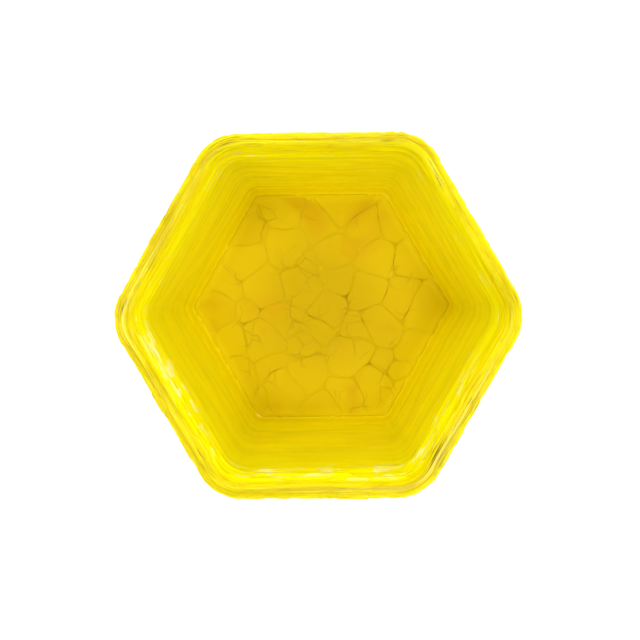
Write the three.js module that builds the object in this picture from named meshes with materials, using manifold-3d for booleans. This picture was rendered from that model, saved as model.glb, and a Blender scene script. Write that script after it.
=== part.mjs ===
// Rock tumbler barrel, about the 3 lb size: a hexagonal casing with a lift-out liner cup,
// standing on the round drive disc that is clamped under its closed end.
//
// Units are millimetres. +Z runs up the barrel's axis, out of the open mouth. The origin is on the
// axis, on the plane of the drive disc's foot. Two flats of the hexagon face +Y and -Y, and two of
// its corners point along +X and -X.
import * as THREE from "three";
import { mergeVertices } from "three/addons/utils/BufferGeometryUtils.js";
import Module from "manifold-3d";

const wasm = await Module();
wasm.setup();

// ---------------------------------------------------------------- driving dimensions
const GAP = 0.3; // clearance between neighbouring pieces
const RIM_APOTHEM = 65; // axis to flat, outside, at the mouth
const RIM_CORNER_RADIUS = 18; // outside corner, at the mouth
const LEAST_CORNER_RADIUS = 1.2;
const DRAFT = 0.0559; // inward slope of every wall per millimetre of depth, 3.2 degrees
const CAVITY_DEPTH = 118; // mouth to the top of the floor chips

const SHELL_WALL = 2.6;
const SHELL_FLOOR = 3.5;
const LINER_WALL = 3.1;
const LINER_FLOOR = 4;
const RIM_CHAMFER = 0.6;
const PLATE_THICKNESS = 2;
const COVE = 2.2; // width of the sloped corner between the liner's wall and its floor
const COVE_RISE = 3.4;

const BED_THICKNESS = 1.5; // the sheet that the floor chips are set in
const BED_LIP = 1.2;
const CHIP_HEIGHT = 2.2;
const CHIP_CHAMFER = 0.45;
const CHIP_COUNT = 40;

const DISC_RADIUS = 70.5;
const DISC_RIM_WALL = 7;
const DISC_RIM_HEIGHT = 30; // foot to the top of the hexagonal socket
const WEB_BOTTOM = 20;
const WEB_THICKNESS = 4;
const WEB_HOLE_RADIUS = 6;
const WEB_HOLE_CIRCLE = 44;
const WEB_HOLE_COUNT = 6;
const RIB_START = 26; // inner end of the ribs under the web, clear of the knob
const RIB_WIDTH = 5;
const RIB_DEPTH = 2.5;
const TYRE_RADIUS = 76;
const TYRE_GROOVE_DEPTH = 2.5;
const TYRE_BOTTOM = 6;
const TYRE_WIDTH = 15;
const TYRE_CROWN = 0.8; // how far the tread falls away at its shoulders

const STUD_RADIUS = 4; // M8
const STUD_END = 4;
const WASHER_RADIUS = 12;
const WASHER_THICKNESS = 1.6;
const LOCK_WASHER_RADIUS = 7.2;
const LOCK_WASHER_THICKNESS = 2;
const KNOB_RADIUS = 18;
const KNOB_LOBES = 6;
const KNOB_LOBE_DEPTH = 1.7;
const KNOB_HEIGHT = 10;
const INSERT_APOTHEM = 7;
const INSERT_CORNER_RADIUS = 0.6;
const RIVET_COUNT = 6;
const RIVET_CIRCLE = 34;
const RIVET_RADIUS = 2.4;
const RIVET_HEAD_RADIUS = 4;
const RIVET_HEAD_HEIGHT = 1.2;

// ---------------------------------------------------------------- heights, stacked from the foot up
const WEB_TOP = WEB_BOTTOM + WEB_THICKNESS;
const SHELL_BOTTOM = WEB_TOP + GAP;
const PLATE_BOTTOM = SHELL_BOTTOM + SHELL_FLOOR + GAP;
const PLATE_TOP = PLATE_BOTTOM + PLATE_THICKNESS;
const LINER_BOTTOM = PLATE_TOP + GAP;
const BED_BOTTOM = LINER_BOTTOM + LINER_FLOOR + GAP;
const CHIP_BOTTOM = BED_BOTTOM + BED_THICKNESS + GAP;
const CHIP_TOP = CHIP_BOTTOM + CHIP_HEIGHT;
const RIM_TOP = CHIP_TOP + CAVITY_DEPTH;

// ---------------------------------------------------------------- the hexagon
// Axis-to-flat distance of a wall that is `inset` inside the casing's outer surface, at height z.
const apothemAt = (z, inset = 0) => RIM_APOTHEM - inset - (RIM_TOP - z) * DRAFT;

// Every wall is an even offset of the mouth's outline, so its corner radius shrinks with it.
const cornerRadius = (apothem) =>
  Math.max(apothem - (RIM_APOTHEM - RIM_CORNER_RADIUS), LEAST_CORNER_RADIUS);

const SIDE_ANGLE = Math.PI / 3;
const CORNER_STEPS = 5;
const OVERSHOOT = 1; // how far a cutting tool reaches past the face that it opens

// Outline of the hexagon, anticlockwise, with rounded corners.
function hexOutline(apothem, radius = cornerRadius(apothem)) {
  const points = [];
  const centreDistance = (apothem - radius) / Math.cos(Math.PI / 6);
  for (let corner = 0; corner < 6; corner++) {
    const middle = corner * SIDE_ANGLE;
    for (let i = 0; i <= CORNER_STEPS; i++) {
      const angle = middle + (i / CORNER_STEPS - 0.5) * SIDE_ANGLE;
      points.push(
        new THREE.Vector2(
          centreDistance * Math.cos(middle) + radius * Math.cos(angle),
          centreDistance * Math.sin(middle) + radius * Math.sin(angle),
        ),
      );
    }
  }
  return points;
}

// ---------------------------------------------------------------- solids
const centreOf = (points) =>
  points.reduce((sum, p) => sum.add(p), new THREE.Vector2()).divideScalar(points.length);

// Closed solid through a stack of outlines that all have the same number of points: the sides join
// each outline to the next, and the first and last are closed by a fan. An outline is {points, z}.
function loft(levels) {
  const count = levels[0].points.length;
  const positions = [];
  const indices = [];
  for (const { points, z } of levels) for (const p of points) positions.push(p.x, p.y, z);
  for (let level = 0; level < levels.length - 1; level++) {
    for (let i = 0; i < count; i++) {
      const a = level * count + i;
      const b = level * count + ((i + 1) % count);
      indices.push(a, b, b + count, a, b + count, a + count);
    }
  }
  const cap = (level, reversed) => {
    const centre = positions.length / 3;
    const { points, z } = levels[level];
    const middle = centreOf(points);
    positions.push(middle.x, middle.y, z);
    for (let i = 0; i < count; i++) {
      const a = level * count + i;
      const b = level * count + ((i + 1) % count);
      indices.push(centre, reversed ? b : a, reversed ? a : b);
    }
  };
  cap(0, true);
  cap(levels.length - 1, false);
  const geometry = new THREE.BufferGeometry();
  geometry.setAttribute("position", new THREE.Float32BufferAttribute(positions, 3));
  geometry.setIndex(indices);
  return geometry;
}

// Hexagonal solid through the levels [apothem, z].
const hexLoft = (levels) => loft(levels.map(([a, z]) => ({ points: hexOutline(a), z })));

// Solid of revolution about the axis through the outline [radius, z], anticlockwise. It starts and
// ends on the axis, or closes on itself.
function turned(outline, segments = 60) {
  const profile = outline.map(([r, z]) => new THREE.Vector2(r, z));
  return new THREE.LatheGeometry(profile, segments).rotateX(Math.PI / 2);
}

const rod = (radius, bottom, top, segments = 24) =>
  turned([[0, bottom], [radius, bottom], [radius, top], [0, top]], segments);

const ring = (inner, outer, bottom, top, segments = 32) =>
  turned([[inner, bottom], [outer, bottom], [outer, top], [inner, top], [inner, bottom]], segments);

function toSolid(geometry) {
  const bare = geometry.clone();
  bare.deleteAttribute("normal");
  bare.deleteAttribute("uv");
  const merged = mergeVertices(bare, 1e-4);
  return new wasm.Manifold(
    new wasm.Mesh({
      numProp: 3,
      vertProperties: new Float32Array(merged.attributes.position.array),
      triVerts: new Uint32Array(merged.index.array),
    }),
  );
}

function fromSolid(solid) {
  const mesh = solid.getMesh();
  const geometry = new THREE.BufferGeometry();
  geometry.setAttribute("position", new THREE.BufferAttribute(mesh.vertProperties, 3));
  geometry.setIndex(new THREE.BufferAttribute(mesh.triVerts, 1));
  geometry.computeVertexNormals();
  return geometry;
}

// One geometry from several that run into each other.
function joined(...parts) {
  return fromSolid(parts.map(toSolid).reduce((left, part) => left.add(part)));
}

// The first geometry with all the others cut out of it.
function cut(body, ...tools) {
  return fromSolid(tools.reduce((left, tool) => left.subtract(toSolid(tool)), toSolid(body)));
}

// Copies of a geometry, evenly spaced round the axis on a circle.
function roundCircle(geometry, radius, count, firstAngle = 0) {
  return Array.from({ length: count }, (_, i) => {
    const angle = firstAngle + (i * 2 * Math.PI) / count;
    return geometry.clone().translate(radius * Math.cos(angle), radius * Math.sin(angle), 0);
  });
}

// ---------------------------------------------------------------- materials
const material = (color, roughness, metalness = 0) =>
  new THREE.MeshStandardMaterial({ color, roughness, metalness });

const urethane = material(0xe8c806, 0.2);
const chipStone = material(0xdfb905, 0.15);
const bedResin = material(0xb98f04, 0.4);
const alloy = material(0xb4b6b8, 0.45, 1);
const tyreRubber = material(0x1c1c1d, 0.85);
const zincSteel = material(0xa9abad, 0.35, 1);
const knobPlastic = material(0x18191a, 0.5);
const brass = material(0xb08a3c, 0.35, 1);

const barrel = new THREE.Group();

function add(name, geometry, itsMaterial) {
  const mesh = new THREE.Mesh(geometry, itsMaterial);
  mesh.name = name;
  barrel.add(mesh);
}

// ---------------------------------------------------------------- casing and its backing plate
// Countersunk at both ends, so that it lies flush in the plate and in the casing's floor.
function rivet(extra) {
  const bottom = SHELL_BOTTOM;
  const top = PLATE_TOP;
  return turned(
    [
      [0, bottom],
      [RIVET_HEAD_RADIUS + extra, bottom],
      [RIVET_RADIUS + extra, bottom + RIVET_HEAD_HEIGHT],
      [RIVET_RADIUS + extra, top - RIVET_HEAD_HEIGHT],
      [RIVET_HEAD_RADIUS + extra, top],
      [0, top],
    ],
    16,
  );
}
const rivetHoles = () => roundCircle(rivet(GAP), RIVET_CIRCLE, RIVET_COUNT, Math.PI / 6);

// The wall between two insets, with both edges of the rim broken.
function rimLevels(inset, sign) {
  const chamfered = RIM_TOP - RIM_CHAMFER;
  return [
    [apothemAt(chamfered, inset), chamfered],
    [apothemAt(RIM_TOP, inset) + sign * RIM_CHAMFER, RIM_TOP],
  ];
}

function outerShell() {
  const floorTop = SHELL_BOTTOM + SHELL_FLOOR;
  const bottomEdge = 1.5;
  const body = hexLoft([
    [apothemAt(SHELL_BOTTOM) - bottomEdge, SHELL_BOTTOM],
    [apothemAt(SHELL_BOTTOM + bottomEdge), SHELL_BOTTOM + bottomEdge],
    ...rimLevels(0, -1),
  ]);
  const hollow = hexLoft([
    [apothemAt(floorTop, SHELL_WALL), floorTop],
    [apothemAt(RIM_TOP, SHELL_WALL), RIM_TOP],
    [apothemAt(RIM_TOP, SHELL_WALL), RIM_TOP + OVERSHOOT],
  ]);
  const studHole = rod(STUD_RADIUS + GAP, SHELL_BOTTOM - OVERSHOOT, floorTop + OVERSHOOT);
  return cut(body, hollow, studHole, ...rivetHoles());
}

function backingPlate() {
  const clearance = 1; // between the plate's edge and the casing's wall
  const inset = SHELL_WALL + GAP + clearance;
  const body = hexLoft([
    [apothemAt(PLATE_BOTTOM, inset), PLATE_BOTTOM],
    [apothemAt(PLATE_BOTTOM, inset), PLATE_TOP],
  ]);
  const studHole = rod(STUD_RADIUS + GAP, PLATE_BOTTOM - OVERSHOOT, PLATE_TOP + OVERSHOOT);
  return cut(body, studHole, ...rivetHoles());
}

// Threaded stud with a thin flat head that lies on the plate, under a dimple in the liner.
const STUD_HEAD_RADIUS = 9;
const STUD_HEAD_HEIGHT = 1.5;
function clampStud() {
  const headBottom = PLATE_TOP + GAP;
  const tip = 1;
  return turned(
    [
      [0, STUD_END],
      [STUD_RADIUS - tip, STUD_END],
      [STUD_RADIUS, STUD_END + tip],
      [STUD_RADIUS, headBottom],
      [STUD_HEAD_RADIUS, headBottom],
      [STUD_HEAD_RADIUS, headBottom + STUD_HEAD_HEIGHT],
      [0, headBottom + STUD_HEAD_HEIGHT],
    ],
    24,
  );
}

add("outer_shell", outerShell(), urethane);
add("backing_plate", backingPlate(), zincSteel);
add("clamp_stud", clampStud(), zincSteel);
roundCircle(rivet(0), RIVET_CIRCLE, RIVET_COUNT, Math.PI / 6).forEach((geometry, i) =>
  add(`plate_rivet_${i + 1}`, geometry, zincSteel),
);

// ---------------------------------------------------------------- liner cup
const BED_APOTHEM = apothemAt(CHIP_TOP, SHELL_WALL + GAP + LINER_WALL) - COVE - GAP;

function linerCup() {
  const outside = SHELL_WALL + GAP;
  const inside = outside + LINER_WALL;
  const pocket = BED_APOTHEM + GAP;
  const pocketBottom = LINER_BOTTOM + LINER_FLOOR;
  const body = hexLoft([
    [apothemAt(LINER_BOTTOM, outside), LINER_BOTTOM],
    ...rimLevels(outside, -1),
  ]);
  const hollow = hexLoft([
    [pocket, pocketBottom],
    [pocket, CHIP_TOP],
    [apothemAt(CHIP_TOP + COVE_RISE, inside), CHIP_TOP + COVE_RISE],
    ...rimLevels(inside, 1),
    [apothemAt(RIM_TOP, inside) + RIM_CHAMFER, RIM_TOP + OVERSHOOT],
  ]);
  const headDimple = rod(
    STUD_HEAD_RADIUS + 2 * GAP,
    LINER_BOTTOM - OVERSHOOT,
    PLATE_TOP + GAP + STUD_HEAD_HEIGHT + GAP,
  );
  return cut(body, hollow, headDimple);
}

// Tray with a low lip round its edge, which the floor chips are set in.
function floorBed() {
  const lipTop = CHIP_TOP - CHIP_CHAMFER;
  const body = hexLoft([
    [BED_APOTHEM, BED_BOTTOM],
    [BED_APOTHEM, lipTop],
  ]);
  const tray = hexLoft([
    [BED_APOTHEM - BED_LIP, BED_BOTTOM + BED_THICKNESS],
    [BED_APOTHEM - BED_LIP, lipTop + OVERSHOOT],
  ]);
  return cut(body, tray);
}

add("liner_cup", linerCup(), urethane);
add("floor_bed", floorBed(), bedResin);

// ---------------------------------------------------------------- floor chips
// Flat chips fitted together like crazy paving. Each is one cell of a power diagram, whose sites lie
// on a loose sunflower spiral, and whose weights make some chips larger than their neighbours.
const GOLDEN_ANGLE = Math.PI * (3 - Math.sqrt(5));
const SPIRAL_FILL = 0.93; // the share of the floor's half-width squared that the spiral covers
const SITE_JITTER = 3.4;
const WEIGHT_RANGE = 80; // square millimetres
const CHIP_GAP = 0.4;
const CORNER_CUT = 1.1; // how far back along its two sides a rounded corner starts
const CORNER_SHARE = 0.3; // and at most this share of each side
const SHORTEST_SIDE = 1;
const EDGE_STEP = 2.5;
const BEND = 0.9; // how far the joints wander from straight lines
const BEND_LENGTH = 23;
const BEND_SKEWS = [1.3, 1.4]; // the directions of the second waves
const BEND_PHASES = [0, 1, 2, 4];
const SECOND_WAVE = 0.6; // size of the second wave beside the first
const BEND_FADE = 9; // the wandering dies away over this distance from the lip

// Repeatable pseudo-random numbers from 0 to 1.
function randomSource(seed) {
  let state = seed;
  return () => {
    state = (state * 1664525 + 1013904223) % 4294967296;
    return state / 4294967296;
  };
}

// The part of a convex outline where x * nx + y * ny <= distance.
function clipOutline(outline, nx, ny, distance) {
  const depth = (p) => p.x * nx + p.y * ny - distance;
  const kept = [];
  outline.forEach((p, i) => {
    const q = outline[(i + 1) % outline.length];
    const a = depth(p);
    const b = depth(q);
    if (a <= 0) kept.push(p);
    if (a * b < 0) kept.push(p.clone().lerp(q, a / (a - b)));
  });
  return kept;
}

// A convex outline without the corners that lie closer together than `least`.
const withoutShortSides = (outline, least) =>
  outline.filter((p, i) => p.distanceTo(outline[(i + 1) % outline.length]) > least);

// A convex outline moved inwards by an even distance.
function insetOutline(outline, distance) {
  return outline.reduce((left, p, i) => {
    const q = outline[(i + 1) % outline.length];
    const along = q.clone().sub(p).normalize();
    return clipOutline(left, along.y, -along.x, p.x * along.y - p.y * along.x - distance);
  }, outline);
}

// The outline with its corners cut back a little and its sides divided into short steps.
function divideOutline(outline) {
  const divided = [];
  outline.forEach((corner, i) => {
    const next = outline[(i + 1) % outline.length];
    const length = corner.distanceTo(next);
    const share = Math.min(CORNER_CUT / length, CORNER_SHARE);
    const steps = Math.max(Math.round((length * (1 - 2 * share)) / EDGE_STEP), 1);
    for (let step = 0; step <= steps; step++) {
      divided.push(corner.clone().lerp(next, share + ((1 - 2 * share) * step) / steps));
    }
  });
  return divided;
}

// A smooth sideways drift of the whole floor, the same for neighbours, which bends their joint.
function bend(p, limit) {
  const towardsFlats = [0, 1, 2].map((i) => SIDE_ANGLE * (i + 0.5));
  const apothem = Math.max(
    ...towardsFlats.map((angle) => Math.abs(p.x * Math.cos(angle) + p.y * Math.sin(angle))),
  );
  const strength = BEND * THREE.MathUtils.smoothstep(limit - apothem, 0, BEND_FADE);
  const wave = (distance, phase) =>
    Math.sin((2 * Math.PI * distance) / BEND_LENGTH + BEND_PHASES[phase]);
  const driftX = wave(p.y, 0) + SECOND_WAVE * wave(BEND_SKEWS[0] * p.x + p.y, 1);
  const driftY = wave(p.x, 2) + SECOND_WAVE * wave(p.x - BEND_SKEWS[1] * p.y, 3);
  return new THREE.Vector2(p.x + strength * driftX, p.y + strength * driftY);
}

function chipOutlines() {
  const random = randomSource(11);
  const bedInside = BED_APOTHEM - BED_LIP - GAP + CHIP_GAP / 2;
  const spacing = bedInside / Math.sqrt(CHIP_COUNT * SPIRAL_FILL);
  const sites = Array.from({ length: CHIP_COUNT }, (_, i) => {
    const radius = spacing * Math.sqrt(i + 0.5);
    const angle = i * GOLDEN_ANGLE;
    return {
      x: radius * Math.cos(angle) + SITE_JITTER * (2 * random() - 1),
      y: radius * Math.sin(angle) + SITE_JITTER * (2 * random() - 1),
      weight: WEIGHT_RANGE * random(),
    };
  });
  return sites.map((site) => {
    const cell = sites.reduce((left, other) => {
      if (other === site) return left;
      const nx = 2 * (other.x - site.x);
      const ny = 2 * (other.y - site.y);
      const power = (s) => s.x ** 2 + s.y ** 2 - s.weight;
      return clipOutline(left, nx, ny, power(other) - power(site));
    }, hexOutline(bedInside, LEAST_CORNER_RADIUS));
    const sides = withoutShortSides(insetOutline(cell, CHIP_GAP / 2), SHORTEST_SIDE);
    return divideOutline(sides).map((p) => bend(p, bedInside));
  });
}

function chip(outline) {
  const middle = centreOf(outline);
  const crown = outline.map((p) => p.clone().add(middle.clone().sub(p).setLength(CHIP_CHAMFER)));
  return loft([
    { points: outline, z: CHIP_BOTTOM },
    { points: outline, z: CHIP_TOP - CHIP_CHAMFER },
    { points: crown, z: CHIP_TOP },
  ]);
}

chipOutlines().forEach((outline, i) =>
  add(`floor_chip_${String(i + 1).padStart(2, "0")}`, chip(outline), chipStone),
);

// ---------------------------------------------------------------- drive disc and tyre
// A rib under the web, from near the knob out into the rim.
function webRib(angle) {
  const root = DISC_RADIUS - DISC_RIM_WALL + OVERSHOOT;
  const underside = WEB_BOTTOM - RIB_DEPTH;
  const side = new THREE.Shape([
    new THREE.Vector2(RIB_START, WEB_BOTTOM + OVERSHOOT),
    new THREE.Vector2(RIB_START, WEB_BOTTOM),
    new THREE.Vector2(RIB_START + 2 * RIB_DEPTH, underside),
    new THREE.Vector2(root, underside),
    new THREE.Vector2(root, WEB_BOTTOM + OVERSHOOT),
  ]);
  return new THREE.ExtrudeGeometry(side, { depth: RIB_WIDTH, bevelEnabled: false })
    .rotateX(Math.PI / 2)
    .translate(0, RIB_WIDTH / 2, 0)
    .rotateZ(angle);
}

function driveDisc() {
  const inner = DISC_RADIUS - DISC_RIM_WALL;
  const grooveRadius = DISC_RADIUS - TYRE_GROOVE_DEPTH;
  const edge = 1.2;
  const fillet = 3;
  const tyreTop = TYRE_BOTTOM + TYRE_WIDTH;
  const body = turned([
    [0, WEB_BOTTOM],
    [inner - fillet, WEB_BOTTOM],
    [inner, WEB_BOTTOM - fillet],
    [inner, edge],
    [inner + edge, 0],
    [DISC_RADIUS - edge, 0],
    [DISC_RADIUS, edge],
    [DISC_RADIUS, TYRE_BOTTOM - GAP],
    [grooveRadius, TYRE_BOTTOM - GAP],
    [grooveRadius, tyreTop + GAP],
    [DISC_RADIUS, tyreTop + GAP],
    [DISC_RADIUS, DISC_RIM_HEIGHT - edge],
    [DISC_RADIUS - edge, DISC_RIM_HEIGHT],
    [0, DISC_RIM_HEIGHT],
  ]);
  const socketApothem = apothemAt(DISC_RIM_HEIGHT) + GAP;
  const socket = hexLoft([
    [socketApothem, WEB_TOP],
    [socketApothem, DISC_RIM_HEIGHT + OVERSHOOT],
  ]);
  const ribs = Array.from({ length: WEB_HOLE_COUNT }, (_, i) => webRib((i + 0.5) * SIDE_ANGLE));
  const throughWeb = (radius, segments) =>
    rod(radius, WEB_BOTTOM - OVERSHOOT, WEB_TOP + OVERSHOOT, segments);
  const webHoles = roundCircle(throughWeb(WEB_HOLE_RADIUS, 20), WEB_HOLE_CIRCLE, WEB_HOLE_COUNT);
  return cut(joined(body, ...ribs), socket, throughWeb(STUD_RADIUS + GAP, 24), ...webHoles);
}

// Rubber tyre with a crowned tread.
function driveTyre() {
  const inner = DISC_RADIUS - TYRE_GROOVE_DEPTH + GAP;
  const top = TYRE_BOTTOM + TYRE_WIDTH;
  const shoulder = 2.5;
  const crownSteps = 6;
  const tread = Array.from({ length: crownSteps + 1 }, (_, i) => {
    const t = i / crownSteps;
    const z = TYRE_BOTTOM + shoulder + t * (TYRE_WIDTH - 2 * shoulder);
    return [TYRE_RADIUS - TYRE_CROWN * (2 * t - 1) ** 2, z];
  });
  return turned([
    [inner, TYRE_BOTTOM],
    [TYRE_RADIUS - shoulder, TYRE_BOTTOM],
    ...tread,
    [TYRE_RADIUS - shoulder, top],
    [inner, top],
    [inner, TYRE_BOTTOM],
  ]);
}

add("drive_disc", driveDisc(), alloy);
add("drive_tyre", driveTyre(), tyreRubber);

// ---------------------------------------------------------------- clamp knob and its washers
const WASHER_TOP = WEB_BOTTOM - GAP;
const WASHER_BOTTOM = WASHER_TOP - WASHER_THICKNESS;
const LOCK_TOP = WASHER_BOTTOM - GAP;
const LOCK_BOTTOM = LOCK_TOP - LOCK_WASHER_THICKNESS;
const KNOB_TOP = LOCK_BOTTOM - GAP;
const KNOB_BOTTOM = KNOB_TOP - KNOB_HEIGHT;
const STUD_BORE = STUD_RADIUS + GAP;

function lockWasher() {
  const slitWidth = 1;
  const slitLean = 0.5;
  const slitHeight = LOCK_WASHER_THICKNESS + 2 * OVERSHOOT;
  const slit = new THREE.BoxGeometry(LOCK_WASHER_RADIUS, slitWidth, slitHeight)
    .rotateX(slitLean)
    .translate(LOCK_WASHER_RADIUS / 2 + OVERSHOOT * 2, 0, (LOCK_TOP + LOCK_BOTTOM) / 2);
  return cut(ring(STUD_BORE, LOCK_WASHER_RADIUS, LOCK_BOTTOM, LOCK_TOP, 24), slit);
}

function knobInsert() {
  const points = hexOutline(INSERT_APOTHEM, INSERT_CORNER_RADIUS);
  const body = loft([
    { points, z: KNOB_BOTTOM },
    { points, z: KNOB_TOP },
  ]);
  return cut(body, rod(STUD_BORE, KNOB_BOTTOM - OVERSHOOT, KNOB_TOP + OVERSHOOT));
}

// Lobed hand knob, with the hexagonal hole that its insert is moulded into.
function clampKnob() {
  const lobeSteps = 12;
  const bevel = 1.2;
  const count = KNOB_LOBES * lobeSteps;
  const outline = Array.from({ length: count }, (_, i) => {
    const angle = (i * 2 * Math.PI) / count;
    const wave = (1 + Math.cos(KNOB_LOBES * angle)) / 2;
    const radius = KNOB_RADIUS - bevel - 2 * KNOB_LOBE_DEPTH * (1 - Math.sqrt(wave));
    return new THREE.Vector2(radius * Math.cos(angle), radius * Math.sin(angle));
  });
  const body = new THREE.ExtrudeGeometry(new THREE.Shape(outline), {
    depth: KNOB_HEIGHT - 2 * bevel,
    bevelThickness: bevel,
    bevelSize: bevel,
    bevelSegments: 2,
    curveSegments: 1,
  }).translate(0, 0, KNOB_BOTTOM + bevel);
  const hole = hexOutline(INSERT_APOTHEM + GAP, INSERT_CORNER_RADIUS);
  const hexHole = loft([
    { points: hole, z: KNOB_BOTTOM - OVERSHOOT },
    { points: hole, z: KNOB_TOP + OVERSHOOT },
  ]);
  return cut(body, hexHole);
}

add("thrust_washer", ring(STUD_BORE, WASHER_RADIUS, WASHER_BOTTOM, WASHER_TOP), zincSteel);
add("lock_washer", lockWasher(), zincSteel);
add("knob_insert", knobInsert(), brass);
add("clamp_knob", clampKnob(), knobPlastic);

export default barrel;
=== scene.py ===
"""The looks of an open hexagonal rock tumbler barrel, built round its CAD frame.

Metres, +Z up the barrel's axis. The pieces are rebuilt here as fine meshes that stand in for their plain
CAD nodes: the pebbled casing, the streaky liner cup, the paved floor and the drive hardware underneath.
"""

import math

import bmesh
import bpy
import numpy as np
from mathutils import Matrix, Vector


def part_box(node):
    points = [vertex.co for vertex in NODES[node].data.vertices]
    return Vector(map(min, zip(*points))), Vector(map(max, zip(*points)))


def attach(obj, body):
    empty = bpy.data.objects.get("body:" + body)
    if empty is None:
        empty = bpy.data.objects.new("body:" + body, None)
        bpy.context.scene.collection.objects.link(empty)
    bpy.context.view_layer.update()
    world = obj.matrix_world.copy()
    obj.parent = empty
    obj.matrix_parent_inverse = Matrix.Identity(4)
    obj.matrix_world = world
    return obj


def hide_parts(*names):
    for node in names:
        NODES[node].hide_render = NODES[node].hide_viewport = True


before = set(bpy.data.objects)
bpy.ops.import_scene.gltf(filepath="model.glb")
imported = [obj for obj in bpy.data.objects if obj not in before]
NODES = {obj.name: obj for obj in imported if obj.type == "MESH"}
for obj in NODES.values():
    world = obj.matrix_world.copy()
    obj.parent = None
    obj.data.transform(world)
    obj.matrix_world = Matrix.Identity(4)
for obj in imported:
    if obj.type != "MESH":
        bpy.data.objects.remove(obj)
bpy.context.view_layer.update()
MM = 0.001


# ---------------------------------------------------------------- camera
CAMERA_PLACE = Vector((0.0054, 0.0178, 0.5844))
CAMERA_TURN = (-2.53, 0.635, -0.54)  # degrees about X, Y and Z: nearly straight down the barrel
CAMERA_LENS = 68.5


def make_camera():
    data = bpy.data.cameras.new("camera")
    data.lens = CAMERA_LENS
    data.clip_start = 0.01
    camera = bpy.data.objects.new("camera", data)
    bpy.context.scene.collection.objects.link(camera)
    turns = [Matrix.Rotation(math.radians(t), 4, a) for t, a in zip(CAMERA_TURN, "XYZ")]
    camera.matrix_world = Matrix.Translation(CAMERA_PLACE) @ turns[0] @ turns[1] @ turns[2]
    bpy.context.scene.camera = camera


make_camera()

# ---------------------------------------------------------------- measures, read from the frame
SIDE = math.radians(60)


def points_of(node):
    """The vertices of a CAD node."""
    return np.array([v.co for v in NODES[node].data.vertices])


def flats_of(node, low, high):
    """Axis-to-flat distance of a hexagonal CAD node, from its vertices between two heights."""
    points = points_of(node)
    band = points[(points[:, 2] >= low) & (points[:, 2] <= high)]
    return float(band[:, 1].max())


SHELL_LOW, SHELL_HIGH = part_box("outer_shell")
LINER_LOW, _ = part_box("liner_cup")
BED_LOW, BED_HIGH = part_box("floor_bed")
_, CHIP_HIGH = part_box("floor_chip_01")
RIM_Z = SHELL_HIGH.z

# What the CAD nodes' boxes don't tell: clearances, thicknesses and the shape of the rim.
GAP = 0.3 * MM
SHELL_WALL = 2.6 * MM
SHELL_FLOOR = 3.5 * MM
LINER_WALL = 3.1 * MM
LINER_FLOOR = 4 * MM
BORE_RADIUS = 4.3 * MM  # holes that the stud goes through
BED_LIP = 1.2 * MM
RIM_APOTHEM = 65 * MM
RIM_CORNER = 18 * MM
LEAST_CORNER = 1.2 * MM
RIM_CHAMFER = 0.6 * MM
SEARCH = 0.1 * MM  # vertices this near a height count as being at it
UNDER_CHAMFER = RIM_Z - RIM_CHAMFER
CHAMFERED_APOTHEM = flats_of("outer_shell", UNDER_CHAMFER - SEARCH, UNDER_CHAMFER + SEARCH)
DRAFT = (RIM_APOTHEM - CHAMFERED_APOTHEM) / RIM_CHAMFER  # inward slope of every wall
BED_APOTHEM = flats_of("floor_bed", BED_LOW.z - SEARCH, BED_HIGH.z)


def apothem_at(z, inset=0.0):
    """Axis-to-flat distance, at a height, of a wall inset from the casing's outer surface."""
    return RIM_APOTHEM - inset - (RIM_Z - z) * DRAFT


def corner_radius(apothem):
    """Every wall is an even offset of the rim's outline, so its corners sharpen as it shrinks."""
    return min(max(apothem - (RIM_APOTHEM - RIM_CORNER), LEAST_CORNER), apothem)


# ---------------------------------------------------------------- repeatable noise on arrays
HASH_PRIMES = (73856093, 19349663, 83492791)
SEED_PRIME = 2654435761
MIX_PRIMES = (2246822519, 3266489917)
LOW_32_BITS = 0xFFFFFFFF
LOW_24_BITS = 0xFFFFFF


def lattice(i, j, k, seed):
    """Repeatable values from 0 to 1 for whole-number lattice points, by hashing them."""
    mask = np.int64(LOW_32_BITS)
    h = np.int64(seed * SEED_PRIME & LOW_32_BITS)
    for value, prime in zip((i, j, k), HASH_PRIMES):
        h = h ^ (value * prime)
    h = ((h & mask) * MIX_PRIMES[0]) & mask
    h = ((h ^ (h >> 15)) * MIX_PRIMES[1]) & mask
    h = h ^ (h >> 13)
    return (h & LOW_24_BITS) / LOW_24_BITS


def smooth_noise(points, seed):
    """Smooth noise from -1 to 1 with features about one unit across."""
    base = np.floor(points).astype(np.int64)
    part = points - base
    part = part * part * part * (part * (part * 6 - 15) + 10)
    total = np.zeros(len(points))
    for corner in range(8):
        offset = (corner & 1, corner >> 1 & 1, corner >> 2 & 1)
        weight = np.ones(len(points))
        for axis in range(3):
            weight = weight * (part[:, axis] if offset[axis] else 1 - part[:, axis])
        i, j, k = (base[:, axis] + offset[axis] for axis in range(3))
        total += weight * lattice(i, j, k, seed)
    return total * 2 - 1


LACUNARITY = 2.03  # each layer of noise is this many times finer than the one before
LAYER_SHIFT = 17.3  # and moved by this much, so that the layers' lattices don't line up


def layered_noise(points, seed, octaves=3, gain=0.5):
    """Smooth noise from -1 to 1 with finer and weaker layers on top."""
    total, size, top = 0.0, 1.0, 0.0
    for octave in range(octaves):
        place = points * LACUNARITY**octave + octave * LAYER_SHIFT
        total = total + size * smooth_noise(place, seed + octave)
        top += size
        size *= gain
    return total / top


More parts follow.
